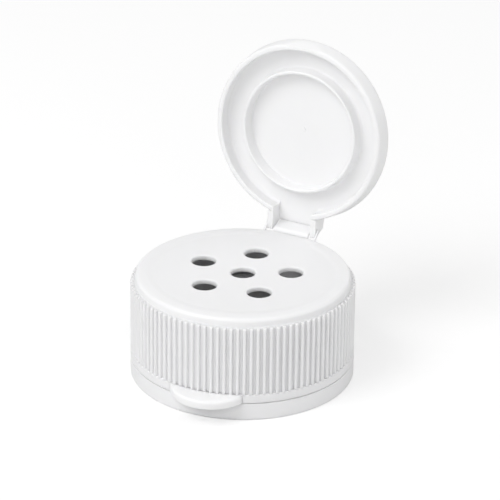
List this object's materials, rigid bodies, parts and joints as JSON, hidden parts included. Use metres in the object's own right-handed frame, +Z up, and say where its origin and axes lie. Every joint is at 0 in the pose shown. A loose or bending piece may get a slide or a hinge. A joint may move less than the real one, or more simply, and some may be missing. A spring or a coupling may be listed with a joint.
{
  "type": "flip top cap",
  "caption": "Round ribbed sifter cap for a screw neck: a flip lid over the sifter holes, and a tab that lifts the whole sifter deck off its base ring.",
  "frame": {"origin": "centre of the base ring's bottom plane, on the cap's axis, where the jar's neck enters", "axes": "+Z up along the cap's axis, +Y towards the two hinges, +X to the right of someone who faces +Y"},
  "size_m": [0.045, 0.0551, 0.0615],
  "materials": {
    "white_polypropylene": "moulded white polypropylene with a soft satin sheen"
  },
  "bodies": {
    "base": {"base_ring": "white_polypropylene", "base_hinge_strap": "white_polypropylene"},
    "sifter": {"sifter_body": "white_polypropylene", "lid_hinge_strap": "white_polypropylene", "lid_hinge_web_left": "white_polypropylene", "lid_hinge_web_right": "white_polypropylene"},
    "lid": {"lid": "white_polypropylene"}
  },
  "joints": [
    {"name": "sifter_hinge", "type": "hinge", "parent": "base", "child": "sifter", "pos_m": [0, 0.023, 0.00367], "axis": [-1, 0, 0], "range_deg": [0, 105], "deforming": ["base_hinge_strap"]},
    {"name": "lid_hinge", "type": "hinge", "parent": "sifter", "child": "lid", "pos_m": [0, 0.0212, 0.02195], "axis": [-1, 0, 0], "range_deg": [-95.4, 64.6], "deforming": ["lid_hinge_strap", "lid_hinge_web_left", "lid_hinge_web_right"]}
  ]
}
